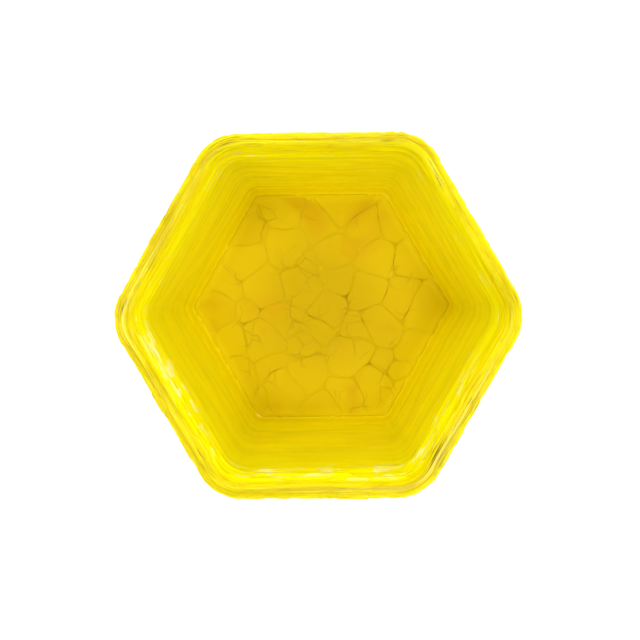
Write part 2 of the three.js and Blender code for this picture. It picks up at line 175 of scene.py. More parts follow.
def cells(points, seed):
    """Distance to the nearest border of irregular cells about one unit across, a value from 0 to 1 for
    the cell, and the offset from its middle."""
    base = np.floor(points).astype(np.int64)
    near = np.full((2, len(points)), np.inf)
    value = np.zeros(len(points))
    offset = np.zeros_like(points)
    for step in np.ndindex(3, 3, 3):
        i, j, k = (base[:, axis] + step[axis] - 1 for axis in range(3))
        site = np.stack([c + lattice(i, j, k, seed + n) for n, c in enumerate((i, j, k))], 1)
        away = points - site
        distance = np.linalg.norm(away, axis=1)
        first = distance < near[0]
        near[1] = np.where(first, near[0], np.minimum(near[1], distance))
        value = np.where(first, lattice(i, j, k, seed + 7), value)
        offset = np.where(first[:, None], away, offset)
        near[0] = np.minimum(near[0], distance)
    return near[1] - near[0], value, offset


def smoothstep(low, high, x):
    """0 below low, 1 above high, and a smooth rise between them."""
    t = np.clip((x - low) / (high - low), 0, 1)
    return t * t * (3 - 2 * t)


# ---------------------------------------------------------------- swept meshes
ARC_STEPS = 16
FLAT_STEPS = 62


def hexagon(apothem, radius=None):
    """Points round a hexagon with rounded corners: the same number on every arc and on every flat."""
    radius = corner_radius(apothem) if radius is None else min(radius, apothem)
    centre = (apothem - radius) / math.cos(SIDE / 2)
    points = []
    for corner in range(6):
        middle = corner * SIDE
        at = centre * np.array([math.cos(middle), math.sin(middle)])
        far = centre * np.array([math.cos(middle + SIDE), math.sin(middle + SIDE)])
        angles = middle + (np.arange(ARC_STEPS) / ARC_STEPS - 0.5) * SIDE
        points.append(at + radius * np.stack([np.cos(angles), np.sin(angles)], 1))
        outward = radius * np.array([math.cos(middle + SIDE / 2), math.sin(middle + SIDE / 2)])
        share = (np.arange(FLAT_STEPS) / FLAT_STEPS)[:, None]
        points.append(outward + at * (1 - share) + far * share)
    return np.concatenate(points)


def rounding_off(near, far):
    """The walls' own hexagons at the far distance and beyond, with rounder corners nearer the axis, up
    to a circle at the near distance."""

    def outline(distance):
        share = min(max((distance - near) / (far - near), 0), 1)
        return hexagon(distance, corner_radius(distance) * share + distance * (1 - share))

    return outline


def hexagon_radius(apothem, angles):
    """How far a hexagon's outline is from the axis at each angle."""
    from_corner = (angles + SIDE / 2) % SIDE - SIDE / 2
    return apothem / np.cos(SIDE / 2 - np.abs(from_corner))


def by_angle(radius_at, count):
    """An outline whose distance from the axis depends on the angle."""
    angles = np.arange(count) * 2 * math.pi / count
    return radius_at(angles)[:, None] * np.stack([np.cos(angles), np.sin(angles)], 1)


def circles(count):
    """Round outlines with this many points."""
    return lambda distance: by_angle(lambda angles: np.full(count, distance), count)


def blended(inner, outer, near, far):
    """Outlines that change from one shape at the near distance to another at the far distance."""

    def outline(distance):
        share = min(max((distance - near) / (far - near), 0), 1)
        return inner * (1 - share) + outer * share

    return outline


def line(start, end, step, growth=1.0):
    """Points from start to end, both included. With growth above 1 they spread out towards the end."""
    start, end = np.array(start, float), np.array(end, float)
    count = max(1, math.ceil(np.linalg.norm(end - start) / step))
    return [tuple(start + (end - start) * (i / count) ** growth) for i in range(count + 1)]


def bow(start, end, corner, steps=6):
    """A quarter curve from start to end that is tangent at both ends to the lines through corner."""
    start, end, corner = (np.array(p, float) for p in (start, end, corner))
    points = []
    for angle in np.linspace(0, math.pi / 2, steps + 1):
        along, onward = 1 - math.sin(angle), 1 - math.cos(angle)
        points.append(tuple(corner + (start - corner) * along + (end - corner) * onward))
    return points


def ring_faces(rows, around, closed=False):
    """Quads between the neighbouring rings of a mesh, and each column with the one that follows it."""
    column = np.arange(around)
    following = (column + 1) % around
    faces = []
    for row in range(rows if closed else rows - 1):
        a, b = row * around, (row + 1) % rows * around
        faces += np.stack([a + column, a + following, b + following, b + column], 1).tolist()
    return faces, column, following


def sweep(name, profile, outline, closed=True):
    """A mesh through an outline at each [distance, z] of a profile. A closed profile comes back to its
    start, and an open one is closed by a fan at either end. Returns the piece, the number of the
    profile point that each vertex belongs to, and the length along the profile there."""
    rings = [outline(distance) for distance, _ in profile]
    around = len(rings[0])
    rows = np.array(profile)
    lengths = np.concatenate([[0], np.cumsum(np.linalg.norm(np.diff(rows, axis=0), axis=1))])
    heights = np.repeat(rows[:, 1], around)
    points = np.column_stack([np.concatenate(rings), heights])
    row_of = np.repeat(np.arange(len(rows)), around)
    faces, column, following = ring_faces(len(rows), around, closed)
    if not closed:
        for row, order in ((0, (following, column)), (len(rows) - 1, (column, following))):
            middle = len(points)
            points = np.vstack([points, [[0, 0, rows[row, 1]]]])
            row_of = np.append(row_of, row)
            start = row * around
            faces += [(middle, int(start + a), int(start + b)) for a, b in zip(*order)]
    return new_mesh(name, points, faces), row_of, lengths[row_of]


def new_mesh(name, points, faces, smooth=True):
    mesh = bpy.data.meshes.new(name)
    mesh.from_pydata(np.asarray(points, float).tolist(), [], faces)
    mesh.polygons.foreach_set("use_smooth", [smooth] * len(mesh.polygons))
    mesh.update()
    piece = bpy.data.objects.new(name, mesh)
    bpy.context.scene.collection.objects.link(piece)
    return piece


def coordinates(piece):
    co = np.zeros(len(piece.data.vertices) * 3)
    piece.data.vertices.foreach_get("co", co)
    return co.reshape(-1, 3)


def set_coordinates(piece, co):
    piece.data.vertices.foreach_set("co", np.asarray(co, np.float32).ravel())
    piece.data.update()


def normals(piece):
    n = np.zeros(len(piece.data.vertices) * 3, np.float32)
    piece.data.vertex_normals.foreach_get("vector", n)
    return n.reshape(-1, 3).astype(float)


def from_axis(co):
    """Each point's distance from the barrel's axis."""
    return np.linalg.norm(co[:, :2], axis=1)


def azimuth(co):
    """Each point's angle round the axis, from +X."""
    return np.arctan2(co[:, 1], co[:, 0])


def push(piece, distance):
    """Moves each vertex along its normal."""
    set_coordinates(piece, coordinates(piece) + normals(piece) * distance[:, None])


def keep_value(piece, name, values):
    """Stores a number at each vertex, for the materials to read by its name."""
    attribute = piece.data.attributes.new(name, "FLOAT", "POINT")
    attribute.data.foreach_set("value", np.asarray(values, np.float32))


# ---------------------------------------------------------------- materials
def linear(red, green, blue):
    """An sRGB colour, 0 to 255, as the linear RGBA that shader sockets take."""
    values = [c / 255 for c in (red, green, blue)]
    return [c / 12.92 if c <= 0.04045 else ((c + 0.055) / 1.055) ** 2.4 for c in values] + [1]


MIX_A, MIX_B, MIX_RESULT = 6, 7, 2  # the colour sockets of a Mix node


class Surface:
    """A node material under construction, with the Principled shader as its end."""

    def __init__(self, name, **sockets):
        self.material = bpy.data.materials.new(name)
        self.material.use_nodes = True
        self.tree = self.material.node_tree
        self.shader = self.tree.nodes["Principled BSDF"]
        for socket, value in sockets.items():
            self.shader.inputs[socket.replace("_", " ")].default_value = value

    def node(self, kind, inputs=(), **settings):
        made = self.tree.nodes.new(kind)
        for key, value in settings.items():
            setattr(made, key, value)
        for key, value in dict(inputs).items():
            self.feed(made.inputs[key], value)
        return made

    def feed(self, socket, value):
        if isinstance(value, bpy.types.NodeSocket):
            self.tree.links.new(value, socket)
        else:
            socket.default_value = value

    def vector_math(self, operation, a, b):
        return self.node("ShaderNodeVectorMath", {0: a, 1: b}, operation=operation).outputs[0]

    def place(self, stretch=(1, 1, 1)):
        """The point on the object at rest, in metres, stretched."""
        coordinate = self.node("ShaderNodeTexCoord").outputs["Object"]
        return self.vector_math("MULTIPLY", coordinate, stretch)

    def value_of(self, attribute):
        return self.node("ShaderNodeAttribute", attribute_name=attribute).outputs["Fac"]

    def along_rim(self, stretch):
        """A place that changes slowly along the rim and fast across it."""
        split = self.node("ShaderNodeSeparateXYZ", {0: self.place()})
        across = self.math("MULTIPLY", self.value_of("across"), stretch)
        joined = {"X": split.outputs["X"], "Y": split.outputs["Y"], "Z": across}
        return self.node("ShaderNodeCombineXYZ", joined).outputs[0]

    def noise(self, vector, scale, detail=2.0, roughness=0.5, distortion=0.0):
        inputs = {
            "Vector": vector,
            "Scale": scale,
            "Detail": detail,
            "Roughness": roughness,
            "Distortion": distortion,
        }
        return self.node("ShaderNodeTexNoise", inputs).outputs["Fac"]

    def wandering(self, vector, scale, reach):
        """The vector moved about by a noise, so that what is drawn on it has no straight lines."""
        noise = self.node("ShaderNodeTexNoise", {"Vector": vector, "Scale": scale, "Detail": 2.0})
        moved = self.vector_math("MULTIPLY", noise.outputs["Color"], (reach, reach, reach))
        return self.vector_math("ADD", vector, moved)

    def cell_edges(self, vector, scale):
        inputs = {"Vector": vector, "Scale": scale}
        return self.node("ShaderNodeTexVoronoi", inputs, feature="DISTANCE_TO_EDGE").outputs["Distance"]

    def ramp(self, value, low, high, start=0.0, end=1.0):
        """value taken from low..high to start..end, clamped."""
        inputs = {"Value": value, "From Min": low, "From Max": high, "To Min": start, "To Max": end}
        return self.node("ShaderNodeMapRange", inputs).outputs["Result"]

    def math(self, operation, a, b=0.0):
        return self.node("ShaderNodeMath", {0: a, 1: b}, operation=operation).outputs[0]

    def mix(self, factor, a, b):
        made = self.node("ShaderNodeMix", data_type="RGBA")
        self.feed(made.inputs["Factor"], factor)
        self.feed(made.inputs[MIX_A], a)
        self.feed(made.inputs[MIX_B], b)
        return made.outputs[MIX_RESULT]

    def set(self, socket, value):
        self.feed(self.shader.inputs[socket], value)

    def bump(self, height, distance, strength=1.0):
        inputs = {"Height": height, "Distance": distance, "Strength": strength}
        self.set("Normal", self.node("ShaderNodeBump", inputs).outputs["Normal"])


# Duller than the yellows in a picture: the light is strong, and it adds up inside the cup.
CASING_LIGHT = linear(210, 195, 5)
CASING_YELLOW = linear(199, 181, 5)
CASING_DEEP = linear(194, 173, 4)
CASING_AMBER = linear(170, 144, 4)
RIM_BROWN = linear(84, 62, 3)
LINER_LIGHT = linear(254, 243, 6)
LINER_DEEP = linear(253, 239, 5)
LINER_AMBER = linear(249, 226, 4)
# Painted highlight: the pale yellow of glints painted into the liner's colour.
LINER_PAINTED_HIGHLIGHT = linear(254, 247, 145)
LINER_FOOT = linear(236, 220, 5)
LINER_OUTSIDE = linear(199, 181, 5)
FLOOR_YELLOW = linear(198, 178, 4)
FLOOR_ORANGE = linear(195, 173, 4)
# Painted shade: the floor's colour, darker in its middle.
FLOOR_MIDDLE_PAINTED_SHADE = linear(174, 152, 4)
PATCH_ORANGE = linear(182, 146, 4)
JOINT_PALE = linear(183, 158, 4)
JOINT_BROWN = linear(82, 58, 2)

GLOW_DEPTH = 11 * MM  # how far light spreads inside the urethane
GLOW_RADIUS = (1.0, 0.8, 0.05)  # the shares of that for red, green and blue
GLOW = 0.8  # how much of the urethane's light comes from inside it
THIN_GLOW = 0.1  # the same at its seams and thin edges, where light would be lost
URETHANE_IOR = 1.5


def translucent(name, roughness, shine, glow=GLOW):
    s = Surface(name, Roughness=roughness, IOR=URETHANE_IOR)
    s.set("Subsurface Weight", glow)
    s.set("Subsurface Scale", GLOW_DEPTH)
    s.set("Specular IOR Level", shine)
    s.set("Subsurface Radius", GLOW_RADIUS)
    return s


def streaks(s, light, deep, dark, band, hair):
    """Streaks along the rim: broad pale and deep bands, with thin darker hairs in them. Returns the
    colour and the hairs, for a bump."""
    broad = s.noise(s.along_rim(3.2), 26, 3, 0.55, 0.3)
    middle = s.noise(s.along_rim(9), 30, 3, 0.6, 0.3)
    hairs = s.noise(s.along_rim(26), 38, 3, 0.6, 0.2)
    colour = s.mix(s.ramp(broad, 0.34, 0.66), light, deep)
    colour = s.mix(s.ramp(middle, 0.42, 0.68, 0, band), colour, deep)
    return s.mix(s.ramp(hairs, 0.5, 0.66, 0, hair), colour, dark), hairs


def edge_streaks(s):
    """The rim's own streaks: strong amber bands with short, thin brown hairs."""
    colour, hairs = streaks(s, CASING_LIGHT, CASING_YELLOW, CASING_AMBER, 0.7, 0.42)
    bands = s.noise(s.along_rim(7), 45, 4, 0.65, 0.6)
    colour = s.mix(s.ramp(bands, 0.5, 0.62, 0, 0.55), colour, CASING_AMBER)
    fine = s.noise(s.along_rim(30), 26, 3, 0.6, 0.3)
    colour = s.mix(s.ramp(fine, 0.52, 0.64, 0, 0.6), colour, CASING_AMBER)
    thin = s.noise(s.along_rim(38), 60, 2, 0.5, 0.4)
    shown = s.ramp(s.noise(s.place(), 70, 2), 0.48, 0.62)
    brown = s.math("MULTIPLY", s.ramp(thin, 0.55, 0.66, 0, 0.9), shown)
    return s.mix(brown, colour, RIM_BROWN), hairs


def painted_highlights(s):
    """Painted highlights on the liner below the mouth: pale drops on the side where the low light falls,
    and short strokes all round, painted into its colour as glints.
    """
    drops = s.noise(s.along_rim(0.8), 85, 2, 0.5, 1.0)
    few = s.ramp(s.noise(s.place(), 24, 1), 0.4, 0.5)
    on_side = s.math("MULTIPLY", s.value_of("painted_highlight_side"), few)
    drops = s.math("MULTIPLY", s.ramp(drops, 0.53, 0.6), on_side)
    strokes = s.ramp(s.noise(s.along_rim(2.2), 130, 1, 0.5, 0.4), 0.66, 0.71, 0, 0.8)
    return s.math("MULTIPLY", s.math("MAXIMUM", drops, strokes), s.value_of("upper"))


def casing_material():
    s = translucent("casing_urethane", 0.2, 0.045)
    place = s.place()
    side = s.mix(s.ramp(s.noise(place, 130, 4, 0.6), 0.4, 0.65), CASING_LIGHT, CASING_YELLOW)
    edge, hairs = edge_streaks(s)
    colour = s.mix(s.value_of("rim"), side, edge)
    patches = s.noise(place, 75, 3)
    colour = s.mix(s.ramp(patches, 0.45, 0.7, 0, 0.6), colour, CASING_DEEP)
    # Painted shade: darker amber along the pebbles' creases.
    crease = s.math("POWER", s.value_of("crease"), 1.5)
    colour = s.mix(s.math("MULTIPLY", crease, 0.6), colour, CASING_AMBER)
    s.set("Base Color", colour)
    s.set("Subsurface Weight", s.ramp(s.value_of("thin"), 0, 1, GLOW, THIN_GLOW))
    s.set("Roughness", s.ramp(s.noise(place, 220, 3), 0.3, 0.7, 0.13, 0.3))
    s.bump(s.math("ADD", s.noise(place, 900, 3), hairs), 0.14 * MM, 0.6)
    return s.material


def liner_material():
    s = translucent("liner_urethane", 0.16, 0.1)
    colour, hairs = streaks(s, LINER_LIGHT, LINER_DEEP, LINER_AMBER, 0.4, 0.1)
    # Painted highlights: pale patches and strokes below the mouth stand in for glints of the low light.
    colour = s.mix(painted_highlights(s), colour, LINER_PAINTED_HIGHLIGHT)
    colour = s.mix(s.value_of("foot"), colour, LINER_FOOT)
    colour = s.mix(s.math("MULTIPLY", s.value_of("sunk"), 0.42), colour, FLOOR_YELLOW)
    clouds = s.ramp(s.noise(s.place((1, 1, 0.4)), 55, 4, 0.6), 0.42, 0.68, 0, 0.7)
    colour = s.mix(s.value_of("outside"), colour, s.mix(clouds, LINER_OUTSIDE, CASING_DEEP))
    # Painted shade: the liner darker towards its mouth, which tones down the light that its rolled lip
    # catches.
    colour = s.mix(s.math("MULTIPLY", s.value_of("mouth"), 0.6), colour, CASING_LIGHT)
    edge, _ = edge_streaks(s)
    s.set("Base Color", s.mix(s.value_of("rim"), colour, edge))
    s.set("Subsurface Weight", s.ramp(s.value_of("thin"), 0, 1, GLOW, THIN_GLOW))
    s.set("Roughness", s.ramp(s.noise(s.along_rim(5), 40, 3), 0.3, 0.7, 0.1, 0.26))
    above_foot = s.math("SUBTRACT", 1.0, s.value_of("foot"))
    s.bump(s.math("MULTIPLY", hairs, above_foot), 0.1 * MM, 0.5)
    return s.material


def chip_material():
    s = translucent("floor_chips", 0.3, 0.015, 0.1)
    place = s.place()
    colour = s.mix(s.ramp(s.value_of("tint"), 0, 1), FLOOR_YELLOW, FLOOR_ORANGE)
    patches = s.noise(place, 34, 2, 0.5, 0.6)
    # Painted shade: the chips darker towards the middle of the floor.
    colour = s.mix(s.value_of("middle"), colour, FLOOR_MIDDLE_PAINTED_SHADE)
    # Painted light: the chips lighter along the floor's outline, next to the walls.
    colour = s.mix(s.math("MULTIPLY", s.value_of("margin"), 0.28), colour, LINER_FOOT)
    colour = s.mix(s.ramp(patches, 0.55, 0.66, 0, 0.5), colour, PATCH_ORANGE)
    line = s.ramp(s.cell_edges(s.wandering(place, 70, 0.012), 95), 0.0, 0.04, 1, 0)
    shown = s.ramp(s.noise(place, 55, 2), 0.5, 0.62)
    crack = s.math("MULTIPLY", line, shown)
    colour = s.mix(s.math("MULTIPLY", crack, 0.25), colour, JOINT_BROWN)
    s.set("Base Color", colour)
    s.set("Roughness", s.ramp(s.noise(place, 300, 3), 0.3, 0.7, 0.22, 0.36))
    s.bump(s.math("SUBTRACT", 1.0, crack), 0.2 * MM, 0.3)
    return s.material


def joint_material():
    s = translucent("joint_resin", 0.35, 0.015, 0.1)
    place = s.place()
    dark = s.ramp(s.noise(place, 62, 4, 0.65), 0.5, 0.68)
    tone = s.mix(dark, JOINT_PALE, JOINT_BROWN)
    faded = s.ramp(s.noise(place, 44, 2), 0.44, 0.54, 0, 0.92)
    # Faded joints take the floor's colour, with its painted shade towards the middle.
    tone = s.mix(faded, tone, s.mix(s.value_of("middle"), FLOOR_YELLOW, FLOOR_MIDDLE_PAINTED_SHADE))
    # Painted light: the joints lighter along the floor's outline, next to the walls.
    tone = s.mix(s.math("MULTIPLY", s.value_of("margin"), 0.45), tone, LINER_FOOT)
    lip = s.mix(0.2, FLOOR_YELLOW, LINER_FOOT)
    s.set("Base Color", s.mix(s.value_of("under_chips"), lip, tone))
    s.bump(s.noise(place, 1500, 2), 0.1 * MM, 0.5)
    return s.material


def metal(name, colour, stain, roughness, grain=(1, 1, 1), pitted=0.0):
    """Clouded metal with fine scratches that run across the axis that grain stretches."""
    s = Surface(name, Roughness=roughness, Metallic=1.0)
    place = s.place()
    s.set("Base Color", s.mix(s.ramp(s.noise(place, 90, 5, 0.6), 0.38, 0.72, 0, 0.6), colour, stain))
    scratches = s.noise(s.place(grain), 1400, 3, 0.6)
    s.set("Roughness", s.ramp(scratches, 0.3, 0.7, roughness - 0.08, roughness + 0.14))
    pits = s.ramp(s.noise(place, 1100, 2), 0.3, 0.45, 0, pitted)
    s.bump(s.math("ADD", scratches, pits), 0.08 * MM, 0.5)
    return s.material


def rubber_material():
    s = Surface("tyre_rubber", Roughness=0.8)
    place = s.place()
    dust = s.ramp(s.noise(place, 120, 5, 0.65), 0.5, 0.75, 0, 0.5)
    s.set("Base Color", s.mix(dust, linear(27, 27, 28), linear(74, 72, 68)))
    s.set("Roughness", s.ramp(s.noise(place, 500, 3), 0.3, 0.7, 0.68, 0.9))
    s.bump(s.noise(place, 2600, 3), 0.12 * MM, 0.6)
    return s.material


def plastic_material():
    s = Surface("knob_plastic", Roughness=0.42)
    place = s.place()
    s.set("Base Color", s.mix(s.noise(place, 160, 4), linear(22, 22, 24), linear(40, 40, 42)))
    s.set("Roughness", s.ramp(s.noise(place, 700, 3), 0.3, 0.7, 0.34, 0.52))
    s.bump(s.cell_edges(place, 2200), 0.1 * MM, 0.45)
    return s.material


CASING = casing_material()
LINER = liner_material()
CHIPS = chip_material()
JOINTS = joint_material()
ALLOY = metal("cast_alloy", linear(188, 190, 193), linear(140, 141, 144), 0.42, pitted=1.5)
STEEL = metal("zinc_steel", linear(208, 209, 211), linear(168, 170, 176), 0.28, grain=(1, 6, 1))
BRASS = metal("knob_brass", linear(205, 168, 92), linear(160, 122, 60), 0.28, grain=(1, 1, 6))
RUBBER = rubber_material()
PLASTIC = plastic_material()


def finish(piece, body, material, slot, *nodes):
    """The piece takes its material, rides on its body and hides the CAD nodes that it stands for."""
    piece.data.materials.clear()
    piece.data.materials.append(material)
    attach(piece, body)
    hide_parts(*nodes)


# ---------------------------------------------------------------- casing
TOP = RIM_Z - 0.12 * MM  # the rim's highest ridges stay just under the CAD's rim
LIP_STEP = 0.4 * MM
SEAM_FILL = 0.14 * MM  # each side of the seam between casing and liner stands this far into it


def lip(outer, inner, outer_round, inner_round, inner_fall):
    """The top of a wall, from its outer to its inner side, with both edges rounded."""
    first = bow((outer, TOP - outer_round), (outer - outer_round, TOP), (outer, TOP))
    flat = line((outer - outer_round, TOP), (inner + inner_round, TOP), LIP_STEP)
    last = bow((inner + inner_round, TOP), (inner, TOP - inner_fall), (inner, TOP), 12)
    return [*first[:-1], *flat, *last[1:]]


def lip_ridges(co, across):
    """Thin ridges that follow the rim round, like the layers of a poured edge."""
    place = np.column_stack([co[:, 0] / (15 * MM), co[:, 1] / (15 * MM), across / (0.9 * MM)])
    return layered_noise(place, seed=71, octaves=2)


def near_seam(profile, row_of, inset):
    """1 at the seam between casing and liner, falling to 0 a little way off. Light stays out of it."""
    distance, height = np.array(profile)[row_of].T
    away = np.abs(distance - apothem_at(RIM_Z, inset))
    return (1 - smoothstep(0.4 * MM, 1.4 * MM, away)) * (height > TOP - 3 * MM)


PEBBLE_SIZE = np.array([9, 9, 6])  # millimetres
CASING_STEP = 1.05 * MM


def casing_skin():
    foot = SHELL_LOW.z + 0.05 * MM
    edge = 1.5 * MM
    floor_top = SHELL_LOW.z + SHELL_FLOOR
    hole = BORE_RADIUS
    outer_round, inner_round = 1.1 * MM, 0.1 * MM
    inside = apothem_at(TOP - inner_round, SHELL_WALL + SEAM_FILL)
    rim = lip(apothem_at(TOP - outer_round), inside, outer_round, inner_round, inner_round)
    low_edge = apothem_at(foot + edge)
    under = line((hole, foot), (low_edge - edge, foot), 5 * MM)
    foot_edge = bow((low_edge - edge, foot), (low_edge, foot + edge), (low_edge, foot), 4)
    outside = line((low_edge, foot + edge), rim[0], CASING_STEP)
    inner_foot = apothem_at(floor_top, SHELL_WALL)
    inner_wall = line(rim[-1], (inner_foot, floor_top), 4 * MM)
    above = line((inner_foot, floor_top), (hole, floor_top), 5 * MM)
    profile = [*under, *foot_edge[1:], *outside[1:], *rim[1:], *inner_wall[1:], *above[1:]]
    start = len(under)
    end = start + len(foot_edge) + len(outside) + len(rim) - 4

    piece, row_of, across = sweep("casing_skin", profile, rounding_off(hole, inner_foot))
    co = coordinates(piece)
    outer = (row_of >= start) & (row_of < end)
    place = co / PEBBLE_SIZE / MM + 0.26 * layered_noise(co / (7 * MM), seed=5)[:, None]
    border, height, offset = cells(place, seed=21)
    crease = 1 - smoothstep(0.0, 0.16, border)
    tilt = (offset * np.array([0.5, -0.4, 0.6])).sum(1)
    pebbles = -0.5 * crease + 0.45 * (height - 0.85) + 0.3 * tilt - 0.1
    fine = 0.09 * layered_noise(co / (2.4 * MM), seed=33)
    rise = smoothstep(foot, foot + 4 * MM, co[:, 2])
    on_top = smoothstep(TOP - outer_round, TOP, co[:, 2])
    side = (pebbles + fine) * rise * (1 - 0.75 * on_top)
    ridges = 0.14 * (lip_ridges(co, across) - 0.6) * on_top
    push(piece, (side + ridges) * MM * outer)
    # The creases' mask, which carries the painted shade in the casing's colour.
    keep_value(piece, "crease", crease * outer * (1 - 0.5 * on_top))
    keep_value(piece, "across", across)
    keep_value(piece, "thin", near_seam(profile, row_of, SHELL_WALL))
    keep_value(piece, "rim", smoothstep(TOP - 5 * MM, TOP - MM, co[:, 2]))
    finish(piece, "casing", CASING, "yellow_casing", "outer_shell")


# ---------------------------------------------------------------- liner cup
LEDGE_COUNT = 9
LEDGE_START = 2.2  # millimetres from the rim down to the first
LEDGE_SPACING = 2.9  # millimetres from one to the next


def ledges(co, depth):
    """Short sloping ledges near the rim, where the wall's layers end. They catch the low light."""
    total = np.zeros(len(co))
    for layer in range(LEDGE_COUNT):
        level = (LEDGE_START + LEDGE_SPACING * layer) * MM
        own_layer = np.full(len(co), 5.7 * layer)
        place = np.column_stack([co[:, 0] / (24 * MM), co[:, 1] / (24 * MM), own_layer])
        level = level + 1.6 * MM * smooth_noise(place, seed=91)
        shown = smoothstep(0.0, 0.35, smooth_noise(place * 2.6 + 3.1, seed=92))
        fall = 0.8 * MM
        step = smoothstep(level - fall, level, depth) * (1 - smoothstep(level, level + 6 * MM, depth))
        total += 0.75 * shown * step * (1 - layer / 12)
    return total


def liner_skin():
    outside = SHELL_WALL + GAP
    inside = outside + LINER_WALL
    foot = LINER_LOW.z
    chip_top = CHIP_HIGH.z
    pocket_floor = foot + LINER_FLOOR
    pocket = BED_APOTHEM + GAP
    cove_top = chip_top + 9 * MM
    cove_end = (BED_APOTHEM - 0.4 * MM, chip_top - 0.2 * MM)
    near_axis = 0.5 * MM
    outer_round, inner_round, inner_fall = 0.1 * MM, 2.3 * MM, 5 * MM
    dimple, dimple_top = 9.6 * MM, foot + 1.8 * MM
    outer_top = apothem_at(TOP - outer_round, outside - SEAM_FILL)
    rim = lip(outer_top, apothem_at(TOP - inner_fall, inside), outer_round, inner_round, inner_fall)
    under = line((dimple, foot), (apothem_at(foot, outside), foot), 5 * MM)
    outer_wall = line(under[-1], rim[0], 5 * MM)
    wall_foot = (apothem_at(cove_top, inside), cove_top)
    inner_wall = line(rim[-1], wall_foot, MM, 1.6)
    cove = bow(wall_foot, cove_end, (apothem_at(cove_end[1], inside), cove_end[1]), 16)
    cove.insert(-1, (cove_end[0] + 0.03 * MM, cove_end[1]))
    under_lip = (cove_end[0], cove_end[1] - 0.03 * MM)
    hollow = [
        under_lip,
        (pocket, chip_top - 0.6 * MM),
        *line((pocket, pocket_floor), (near_axis, pocket_floor), 6 * MM),
    ]
    profile = [
        *line((near_axis, dimple_top), (dimple, dimple_top), 5 * MM),
        *under,
        *outer_wall[1:],
        *rim[1:],
        *inner_wall[1:],
        *cove[1:],
        *hollow,
    ]
    end = len(profile) - len(hollow)
    start = end - len(cove) - len(inner_wall) - len(rim) + 3

    shapes = rounding_off(dimple, pocket)
    piece, row_of, across = sweep("liner_skin", profile, shapes, closed=False)
    co = coordinates(piece)
    worked = (row_of >= start) & (row_of < end)
    depth = RIM_Z - co[:, 2]
    above_floor = co[:, 2] - chip_top
    near_rim = 1 - smoothstep(4 * MM, 38 * MM, depth)
    long = layered_noise(co / np.array([34, 34, 7.5]) / MM, seed=3, octaves=2)
    short = layered_noise(co / np.array([13, 13, 3.6]) / MM, seed=8, octaves=2)
    broad = layered_noise(co / np.array([26, 26, 18]) / MM, seed=14, octaves=2)
    ripple = (0.2 + 0.34 * near_rim) * long + (0.02 + 0.2 * near_rim) * short + 0.45 * broad
    lit_side = smoothstep(-0.1, 0.5, -np.sin(azimuth(co) + 0.25))  # where the low light falls
    ripple += ledges(co, depth) * (0.2 + 0.8 * lit_side)
    smooth_foot = smoothstep(0, 20 * MM, above_floor)  # the ripples fade out towards the floor
    dimples = 0.16 * layered_noise(co / (2.4 * MM), seed=40, octaves=2) * (1 - smooth_foot)
    on_top = smoothstep(TOP - 1.2 * MM, TOP, co[:, 2])
    ridges = 0.14 * (lip_ridges(co, across) - 0.6) * on_top
    push(piece, ((ripple * (1 - on_top) * smooth_foot) + dimples + ridges) * MM * worked)
    keep_value(piece, "across", across)
    keep_value(piece, "rim", smoothstep(TOP - 4 * MM, TOP - 0.5 * MM, co[:, 2]))
    # Where the highlights are painted: a band below the rim, most of them on the side where the low
    # light falls.
    upper = smoothstep(2 * MM, 6 * MM, depth) * (1 - smoothstep(20 * MM, 34 * MM, depth))
    keep_value(piece, "upper", upper * worked)
    keep_value(piece, "painted_highlight_side", lit_side)
    # Where the painted shade towards the mouth goes.
    keep_value(piece, "mouth", smoothstep(TOP - 16 * MM, TOP - 2 * MM, co[:, 2]))
    keep_value(piece, "outside", row_of < start)
    near_floor = 1 - smoothstep(0, 14 * MM, above_floor)
    keep_value(piece, "foot", near_floor)
    keep_value(piece, "sunk", 1 - smoothstep(0, 6 * MM, above_floor))
    thin_edge = 1 - smoothstep(0.2 * MM, 1.6 * MM, above_floor)
    seam = near_seam(profile, row_of, outside)
    keep_value(piece, "thin", np.maximum.reduce([near_floor / 2, thin_edge, seam]))
    finish(piece, "liner", LINER, "yellow_liner", "liner_cup")


# ---------------------------------------------------------------- paved floor
def outline_of(node):
    """The outline of a flat CAD chip, anticlockwise, from its lowest vertices."""
    co = points_of(node)
    low = co[co[:, 2] < co[:, 2].min() + 0.01 * MM][:, :2]
    low = np.unique(np.round(low, 7), axis=0)
    away = low - low.mean(0)
    around = np.linalg.norm(away, axis=1) > np.linalg.norm(away, axis=1).min()
    order = np.argsort(np.arctan2(away[around][:, 1], away[around][:, 0]))
    return low[around][order]


def rounded(outline, passes):
    """The outline with its corners cut again and again, which rounds them."""
    for _ in range(passes):
        following = np.roll(outline, -1, axis=0)
        first, second = outline * 0.75 + following * 0.25, outline * 0.25 + following * 0.75
        outline = np.stack([first, second], 1).reshape(-1, 2)
    return outline


def near_middle(co):
    """1 in the middle of the floor, falling to 0 near the walls. There the floor's colour is painted
    darker, as painted shade that evens out the stronger light the open middle gets.
    """
    return 1 - smoothstep(14 * MM, 50 * MM, from_axis(co))


def near_margin(co):
    """1 along the floor's outline, 0 from a few millimetres inside it. There the floor's colour is
    painted lighter, as painted light.
    """
    distance = BED_APOTHEM * from_axis(co) / hexagon_radius(BED_APOTHEM, azimuth(co))
    return smoothstep(BED_APOTHEM - 5 * MM, BED_APOTHEM - 0.5 * MM, distance)


CHIP_EDGE = 0.1 * MM  # radius of a chip's upper edge
CHIP_SPREAD = 0.1 * MM  # the visible chips fill a little of the CAD's joint
TINT_SEED = 77


